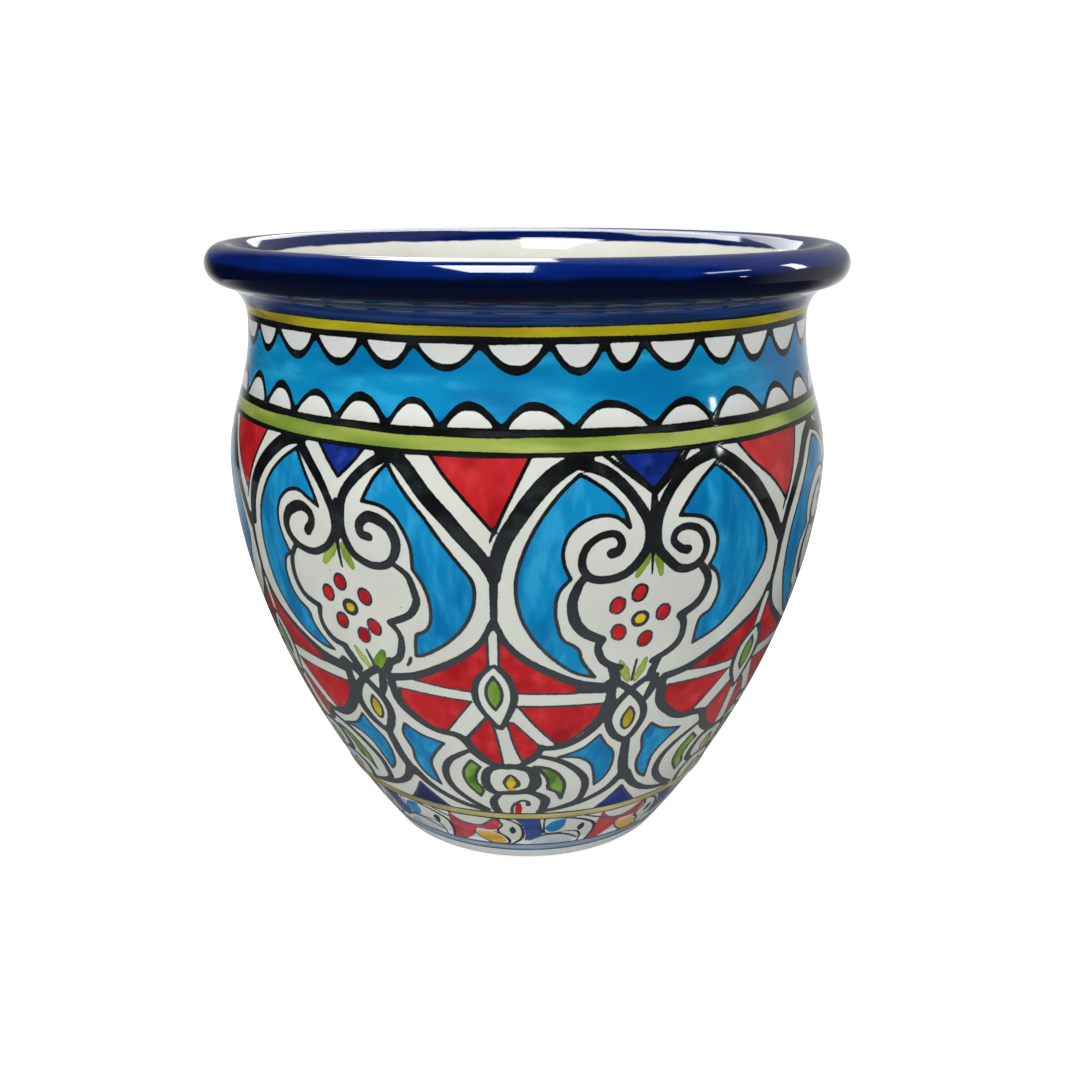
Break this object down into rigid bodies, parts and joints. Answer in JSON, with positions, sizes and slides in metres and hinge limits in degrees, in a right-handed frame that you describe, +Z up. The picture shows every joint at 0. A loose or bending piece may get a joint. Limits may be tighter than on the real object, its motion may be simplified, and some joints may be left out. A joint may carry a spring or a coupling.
{
  "type": "cachepot",
  "caption": "Round glazed earthenware cachepot with a full belly, narrow neck and rolled rim, standing on a turned foot; it hides a plain nursery pot.",
  "frame": {"origin": "middle of the circle that the foot ring stands on, on the floor", "axes": "+Z up along the axis that the pot is turned about; -Y towards the side that the picture shows"},
  "size_m": [0.3, 0.3, 0.2932],
  "materials": {
    "terracotta_clay": "fired earthenware, unglazed and matt",
    "cream_glaze": "smooth gloss glaze, even cream",
    "cobalt_glaze": "deep gloss glaze, brushed round the rim",
    "white_ground_glaze": "gloss white ground with painted ornament",
    "yellow_glaze": "gloss, one brushed band",
    "black_line_glaze": "gloss, thin brushed line",
    "turquoise_frieze_glaze": "gloss, washed in brush strokes over white",
    "green_glaze": "gloss, one brushed band",
    "ochre_glaze": "gloss, a line that stands slightly proud",
    "blue_grey_glaze": "gloss, thin grey-blue lines on white"
  },
  "bodies": {
    "root": {"clay_body": "terracotta_clay", "interior_glaze": "cream_glaze", "underside_glaze": "white_ground_glaze", "foot_white_glaze": "white_ground_glaze", "foot_line_glaze": "blue_grey_glaze", "foot_frieze_glaze": "white_ground_glaze", "ochre_line_glaze": "ochre_glaze", "main_panel_glaze": "white_ground_glaze", "lower_green_line_glaze": "black_line_glaze", "green_band_glaze": "green_glaze", "upper_green_line_glaze": "black_line_glaze", "scallop_frieze_glaze": "turquoise_frieze_glaze", "lower_neck_line_glaze": "black_line_glaze", "yellow_neck_band_glaze": "yellow_glaze", "upper_neck_line_glaze": "black_line_glaze", "cobalt_rim_glaze": "cobalt_glaze"}
  },
  "joints": []
}
